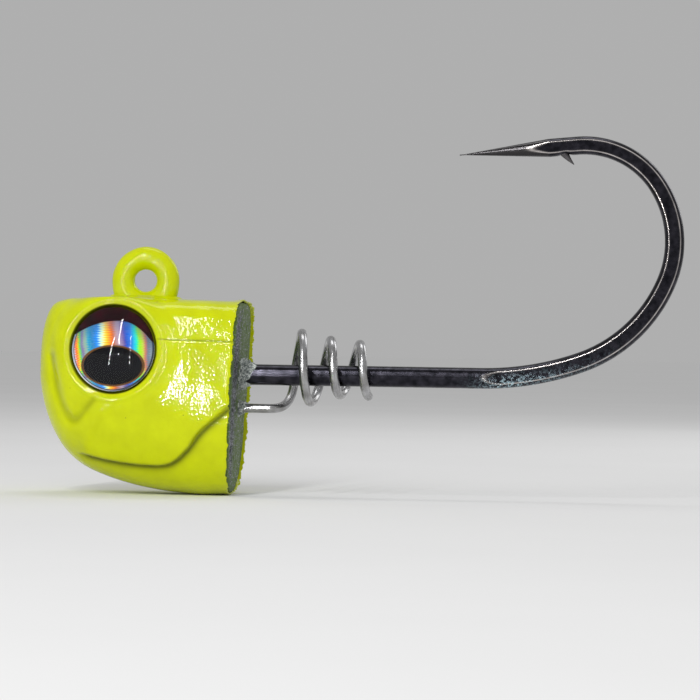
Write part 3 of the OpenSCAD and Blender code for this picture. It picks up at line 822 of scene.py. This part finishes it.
def hook_route():
    """Centreline of the hook from the leg under the ring to the tip: points, headings and run lengths."""
    # Each step is a straight length with no turn, or a radius with its turn in degrees
    leg, shank = TIE_CENTRE[2] - TIE_RADIUS - HEEL_R, SHANK_END_X - TIE_CENTRE[0] - HEEL_R
    steps = [(leg, 0.0), (HEEL_R, 90.0), (shank, 0.0), *zip(BEND_R, BEND_DEG), (SPEAR_LENGTH, 0.0)]
    place = np.array([TIE_CENTRE[0], TIE_CENTRE[2] - TIE_RADIUS])
    heading = -90.0
    points, headings = [place], [heading]
    for size, turn in steps:
        length = size if turn == 0 else size * math.radians(turn)
        count = max(2, int(length / 0.12))
        for k in range(1, count + 1):
            share = k / count
            if turn == 0:
                step = size * share * direction(heading)
            else:
                centre = place + size * direction(heading + 90)
                step = centre + size * direction(heading + turn * share - 90) - place
            points.append(place + step)
            headings.append(heading + turn * share)
        place, heading = points[-1], headings[-1]
    points = np.array(points)
    return points, np.array(headings), run_lengths(points)


def direction(degrees):
    """Unit vector in the hook's plane."""
    return np.array([cos_deg(degrees), sin_deg(degrees)])


def soft_min(a, b, k):
    """The smaller of two values, rounded over where they are within k of each other."""
    h = np.clip(0.5 + (b - a) / (2 * k), 0, 1)
    return mix(b, a, h) - k * h * (1 - h)


def run_lengths(points):
    """Distance along a route at each of its points."""
    return np.concatenate([[0], np.cumsum(np.linalg.norm(np.diff(points, axis=0), axis=1))])


def sweep(route, normals, binormals, half_in, half_out, turns, flat=None):
    """Rings round a route at the angles in turns, with half sizes along the normal and the binormal.

    A flat, where given, is the most that the rings reach along the binormal.
    """
    t = np.radians(turns)
    c, s = np.cos(t), np.sin(t)
    u = half_in[:, None] * c
    v = half_out[:, None] * s
    if flat is not None:
        v = np.sign(s) * soft_min(np.abs(v), flat[:, None] + 0 * v, 0.05)
    return route[:, None] + u[..., None] * normals[:, None] + v[..., None] * binormals[:, None]


def hook():
    """The wire from its leg in the lead to the tip: round shank, forged bend, ground spear."""
    flat_points, headings, run = hook_route()
    total = run[-1]
    route = np.stack([flat_points[:, 0], 0 * run, flat_points[:, 1]], axis=1)
    inner = np.stack([-sin_deg(headings), 0 * run, cos_deg(headings)], axis=1)
    across = np.tile([0, 1.0, 0], (len(run), 1))
    left = total - run
    bend_start = total - SPEAR_LENGTH - sum(r * math.radians(d) for r, d in zip(BEND_R, BEND_DEG))
    bent = np.clip((run - bend_start) / (total - SPEAR_LENGTH - bend_start), 0, 1)
    radius = mix(WIRE_R, SPEAR_R, bent**1.2) - 0.004
    forged = ease((run - bend_start + SHANK_END_X - FORGE_X) / 4.0)
    flat = mix(radius * 1.3, FLAT_SHARE * radius, forged)
    size = np.maximum(radius * np.clip(left / POINT_LENGTH, 0, 1), 0.05)
    # The rings have extra points where the forged flats meet the round sides
    corner = math.degrees(math.asin(FLAT_SHARE))
    corners = (corner, 180 - corner, 180 + corner, 360 - corner)
    fine = np.concatenate([q + np.linspace(-8, 8, 9) for q in corners])
    turns = np.sort(np.concatenate([around(32), fine]))
    rings = sweep(route, inner, across, size, size, turns, flat)
    rings = rings + 0.004 * rough(rings, 2.5, 15)[..., None] * inner[:, None]
    # The cut that raised the barb leaves a dent in the spear's inner side
    facing = cos_deg(turns)
    dent = 0.2 * np.exp(-(((left - BARB_FROM_TIP + 0.2) / 0.45) ** 2))
    rings = rings - (dent[:, None] * np.clip(facing, 0, 1) ** 2)[..., None] * inner[:, None]
    sides = rings.shape[1]
    points = np.concatenate([rings.reshape(-1, 3), [route[0], route[-1] - np.array([0.03, 0, 0])]])
    faces = capped_faces(len(run), sides, flip=True)
    full = size[:, None] * np.abs(sin_deg(turns))
    ground = ease((POINT_LENGTH - left[:, None]) / 0.15) * ease((flat[:, None] - full) / 0.03 + 1)
    # Where the forged flats meet the round sides; the material paints highlight lines there
    edge = np.exp(-(((full - flat[:, None]) / 0.035) ** 2)) * forged[:, None]
    outer = 0.5 - 0.5 * cos_deg(turns)
    past = (run - bend_start)[:, None]
    dust = (np.exp(-(((past - 2.5) / 2.4) ** 2)) + 0.35 * np.exp(-(((past - 7) / 5) ** 2))) * outer**2
    attributes = {
        "ground": np.append(ground, [0, 1]),
        "edge": np.append(edge, [0, 0]),
        "dust": np.append(dust, [0, 0]),
        "along_wire": np.append(np.repeat(run, sides), [0, total]),
        "round_wire": np.append(np.tile(np.abs(turns / 180 - 1), len(run)), [0, 0]),
    }
    return make_piece("hook_wire", points, faces, NICKEL, "hook", attributes)


def barb():
    """A sliver cut up from the spear's inner side, its free end towards the bend."""
    route, headings, run = hook_route()
    end = np.interp(run[-1] - SPEAR_LENGTH, run, np.arange(len(run)))
    start, heading = route[int(round(end))], headings[-1]
    ahead, inner = direction(heading), direction(heading + 90)
    x = SPEAR_LENGTH - BARB_FROM_TIP
    root, tip = np.array([x + 0.62, 0.2]), np.array([x - BARB_LENGTH / 4, SPEAR_R + BARB_LIFT])
    bow = np.array([x + 0.1, 0.95])
    t = np.linspace(0, 1, 40)[:, None]
    local = (1 - t) ** 2 * root + 2 * (1 - t) * t * bow + t**2 * tip
    flat = start + local[:, :1] * ahead + local[:, 1:] * inner
    centre = np.stack([flat[:, 0], 0 * t[:, 0], flat[:, 1]], axis=1)
    step = np.gradient(centre, axis=0)
    step /= np.linalg.norm(step, axis=1, keepdims=True)
    across = np.tile([0, 1.0, 0], (len(t), 1))
    share = 1 - t[:, 0] ** 1.6
    sides = 24
    half_in, half_out = 0.03 + 0.4 * share, 0.05 + 0.34 * share
    rings = sweep(centre, np.cross(across, step), across, half_in, half_out, around(sides))
    points = np.concatenate([rings.reshape(-1, 3), [centre[0], centre[-1]]])
    faces = capped_faces(len(t), sides, flip=True)
    # A faint painted highlight over the whole barb
    attributes = {"edge": np.full(len(points), 0.15)}
    return make_piece("hook_barb", points, faces, NICKEL, "hook", attributes)


def tie_ring_wire():
    """The hook's own eye, a closed ring of wire under the paint."""
    major, minor = 96, 28
    t = np.radians(around(major))
    out = np.stack([np.cos(t), 0 * t, np.sin(t)], axis=1)
    centre = TIE_CENTRE + TIE_RADIUS * out
    across = np.tile([0, 1.0, 0], (major, 1))
    size = np.full(major, WIRE_R - 0.01)
    rings = sweep(centre, out, across, size, size, around(minor))
    faces = torus_faces(major, minor)
    return make_piece("hook_eye", rings.reshape(-1, 3), faces, NICKEL, "hook")


# ---------- keeper ----------

def keeper_route():
    """Centreline of the keeper from inside the lead: straight foot, rise behind the shank, coil."""
    foot_x = np.linspace(-2.0, FOOT_END_X, 24, endpoint=False)
    foot = np.stack([foot_x, 0 * foot_x, np.full(len(foot_x), FOOT_Z)], axis=1)
    steps = 96
    turns = np.arange(0, (KEEPER_TURNS - 0.25) * steps + 1) / steps
    radius = along(COIL_RADII, turns * 2)
    angle = 2 * np.pi * turns
    coil = np.stack([
        COIL_X + KEEPER_PITCH * turns + COIL_TILT * np.sin(angle),
        radius * np.cos(angle),
        COIL_Z + radius * np.sin(angle),
    ], axis=1)
    a = np.array([FOOT_END_X, 0, FOOT_Z])
    b = a + [1.6, 0, 0]
    c = np.array([COIL_X - 0.1, COIL_RADII[0], COIL_Z - 3.4])
    t = np.linspace(0, 1, 48, endpoint=False)[:, None]
    rise = (1 - t) ** 3 * a + 3 * (1 - t) ** 2 * t * b + 3 * (1 - t) * t**2 * c + t**3 * coil[0]
    return np.concatenate([foot, rise, coil])


def carried_frame(route):
    """Unit tangents and two across-vectors carried along a route without twist."""
    tangent = np.gradient(route, axis=0)
    tangent /= np.linalg.norm(tangent, axis=1, keepdims=True)
    first = np.cross(tangent[0], [0, 1.0, 0])
    across = [first / np.linalg.norm(first)]
    for t in tangent[1:]:
        v = across[-1] - (across[-1] @ t) * t
        across.append(v / np.linalg.norm(v))
    across = np.array(across)
    return tangent, across, np.cross(tangent, across)


def keeper():
    """The stainless wire, with a sheared free end."""
    route = keeper_route()
    tangent, u, v = carried_frame(route)
    sides = 36
    size = np.full(len(route), KEEPER_R - 0.012)
    size[-3:] = [KEEPER_R - 0.02, KEEPER_R - 0.05, KEEPER_R - 0.12]
    rings = sweep(route, u, v, size, size, around(sides))
    points = np.concatenate([rings.reshape(-1, 3), [route[0], route[-1] + tangent[-1] * 0.02]])
    faces = capped_faces(len(route), sides)
    run = run_lengths(route)
    turn = np.abs(np.linspace(-1, 1, sides, endpoint=False))
    attributes = {
        "along_wire": np.append(np.repeat(run, sides), [0, run[-1]]),
        "round_wire": np.append(np.tile(turn, len(route)), [0, 0]),
    }
    return make_piece("keeper_wire", points, faces, STAINLESS, "keeper", attributes)


# ---------- eyes ----------

def revolve(profile, origin, across, up, out, cols):
    """Rings about an eye's axis: the profile is (radius, height), from the middle below to the top."""
    t = np.radians(around(cols))
    rings = []
    for r, h in profile:
        rings.append(origin + h * out + r * (np.cos(t)[:, None] * across + np.sin(t)[:, None] * up))
    return np.array(rings)


def eye_piece(name, profile, side, material, node, cols=160):
    """One round layer of an eye, with its place on the eye's face kept as eye_u and eye_v."""
    foil_top, across, up, out = eye_axes(side)
    rings = revolve(profile[1:-1], foil_top, across, up, out, cols)
    ends = [foil_top + profile[k][1] * out for k in (0, -1)]
    points = np.concatenate([rings.reshape(-1, 3), ends])
    faces = capped_faces(len(rings), cols, flip=side > 0)
    reach = (points - foil_top) / EYE_RADIUS
    attributes = {"eye_u": reach @ across, "eye_v": reach @ up}
    return make_piece(name, points, faces, material, node, attributes)


def disc_profile(radius, low, high, rings):
    """A thin disc with a rounded edge; its top has rings so that a pattern can follow it."""
    edge = min(0.02, (high - low) / 3)
    below = [(0, low), (radius - edge, low), (radius, low + edge)]
    above = [(radius, high - edge), (radius - edge, high)]
    top = [(radius * k / rings, high) for k in range(rings - 1, 0, -1)]
    return below + above + top + [(0, high)]


def dome_profile():
    """Upright edge, small bevel and a cap of one sphere; its foot reaches just under the foil's face."""
    cap_r = (EYE_RADIUS**2 + DOME_RISE**2) / (2 * DOME_RISE)
    half = math.asin(EYE_RADIUS / cap_r)
    edge = EYE_RADIUS - 0.015
    profile = [(0, -0.04), (edge - 0.04, -0.04), (edge, 0.0), (edge, DOME_EDGE - 0.08)]
    for k in range(40, -1, -1):
        a = half * k / 40 * 0.985
        profile.append((cap_r * math.sin(a), DOME_EDGE + DOME_RISE - 0.01 - cap_r * (1 - math.cos(a))))
    return profile


def eyes():
    """Glue, foil and dome of both eyes; left is +Y."""
    layers = (
        ("adhesive", disc_profile(ADHESIVE_RADIUS, -FOIL_T - ADHESIVE_T, -FOIL_T, 6), ADHESIVE, "adhesive"),
        ("foil", disc_profile(FOIL_RADIUS, -FOIL_T, 0.0, 24), FOIL, "holographic_foil"),
        ("dome", dome_profile(), RESIN, "clear_resin"),
    )
    for side, word in ((1, "left"), (-1, "right")):
        for layer, profile, material, slot in layers:
            eye_piece(f"eye_{layer}_{word}_visual", profile, side, material, f"eye_{layer}_{word}")


# ---------- stage, lights and camera ----------

HEAD_MIDDLE = (-8, 0, 0)
WORLD_LIGHT = 0.43
FRONT_SUN = 0.8
FRONT_RISE = 20.0


def floor():
    """A wide plain floor that the head rests on."""
    half = 6000.0
    z = cad_low[2] / MM - 0.01
    points = [(-half, -half, z), (half, -half, z), (half, half, z), (-half, half, z)]
    mesh = bpy.data.meshes.new("floor")
    mesh.from_pydata([tuple(c * MM for c in p) for p in points], [], [(0, 1, 2, 3)])
    mesh.materials.append(floor_material())
    in_scene("floor", mesh)


def softbox(name, azimuth, elevation, distance, size, radiance, target=HEAD_MIDDLE, fill=True, tilt=0.0):
    """A lit panel seen from the target at an azimuth (0 is -Y, positive towards +X) and an elevation.

    With fill off it shows only as a reflection. The tilt turns the panel about its own axis.
    """
    light = bpy.data.lights.new(name, "AREA")
    light.shape = "RECTANGLE"
    light.size, light.size_y = size[0] * MM, size[1] * MM
    light.energy = math.pi * light.size * light.size_y * radiance
    lamp = in_scene(name, light)
    turn, rise = math.radians(azimuth), math.radians(elevation)
    away = Vector((math.sin(turn) * math.cos(rise), -math.cos(turn) * math.cos(rise), math.sin(rise)))
    lamp.location = (Vector(target) + away * distance) * MM
    lamp.rotation_mode = "QUATERNION"
    spin = Matrix.Rotation(math.radians(tilt), 3, "Z").to_quaternion()
    lamp.rotation_quaternion = away.to_track_quat("Z", "Y") @ spin
    lamp.visible_camera = False
    lamp.visible_diffuse = fill


def front_sun():
    """A wide, soft light from the front that leaves the floor as bright as the world behind it."""
    light = bpy.data.lights.new("front_sun", "SUN")
    light.energy = FRONT_SUN
    light.angle = math.radians(40)
    lamp = in_scene("front_sun", light)
    rise = math.radians(FRONT_RISE)
    lamp.rotation_mode = "QUATERNION"
    lamp.rotation_quaternion = Vector((-0.1, -math.cos(rise), math.sin(rise))).to_track_quat("Z", "Y")
    lamp.visible_glossy = False


def studio():
    """The world, a fill light, and panels that show as highlights on the paint, the eye and the wires."""
    world = bpy.data.worlds.new("studio")
    world.use_nodes = True
    background = world.node_tree.nodes["Background"]
    background.inputs["Color"].default_value = (1.0, 1.0, 1.0, 1)
    background.inputs["Strength"].default_value = WORLD_LIGHT
    bpy.context.scene.world = world
    front_sun()
    softbox("key_softbox", -9, 34, 420, (16, 290), 48)
    softbox("cheek_strip", -10, 0, 120, (2.4, 15), 200, fill=False)
    eye = (RIM_CENTRE[0], -RIM_CENTRE[1], RIM_CENTRE[2])
    softbox("left_tube", -19, 4, 28, (0.4, 27), 80, eye, fill=False, tilt=-10)
    softbox("right_tube", 11, 4, 42, (0.5, 36), 90, eye, fill=False, tilt=-2)
    softbox("top_softbox", 180, 74, 400, (200, 120), 2.8, (20, 0, 0))
    softbox("rear_softbox", 140, 25, 320, (120, 160), 2.0, (10, 0, 0))


CAMERA_YAW = 4.5
CAMERA_ROLL = 0.9
CAMERA_DISTANCE = 300.0
VIEW_WIDTH = 66.85
SENSOR = 36.0


def camera():
    """The viewing angle: level with the shank, turned a little to the rear face, filling the frame."""
    data = bpy.data.cameras.new("camera")
    data.sensor_width = SENSOR
    data.lens = SENSOR * CAMERA_DISTANCE / VIEW_WIDTH
    data.clip_start, data.clip_end = 0.01, 20
    lens = in_scene("camera", data)
    target = Vector((10.45, 0, 2.5)) * MM
    yaw = math.radians(CAMERA_YAW)
    back = Vector((math.sin(yaw), -math.cos(yaw), 0))
    lens.location = target + back * CAMERA_DISTANCE * MM
    lens.rotation_mode = "QUATERNION"
    level = (-back).to_track_quat("-Z", "Y")
    roll = Matrix.Rotation(math.radians(CAMERA_ROLL), 3, "Z").to_quaternion()
    lens.rotation_quaternion = level @ roll
    bpy.context.scene.camera = lens


PAINT = powder_coat_material()
LEAD = lead_material()
NICKEL = black_nickel_material()
STAINLESS = stainless_material()
FOIL = foil_material()
RESIN = resin_material()
ADHESIVE = adhesive_material()

camera()
powder_coat()
tie_ring_coat()
head_casting()
flash_collar("flash_on_shank", 0.0, WIRE_R, 1.8, 1.5, 20)
flash_collar("flash_on_keeper", FOOT_Z, KEEPER_R, 1.0, 0.75, 30)
hook()
barb()
tie_ring_wire()
keeper()
eyes()
floor()
studio()
bpy.context.scene.view_settings.view_transform = "Standard"
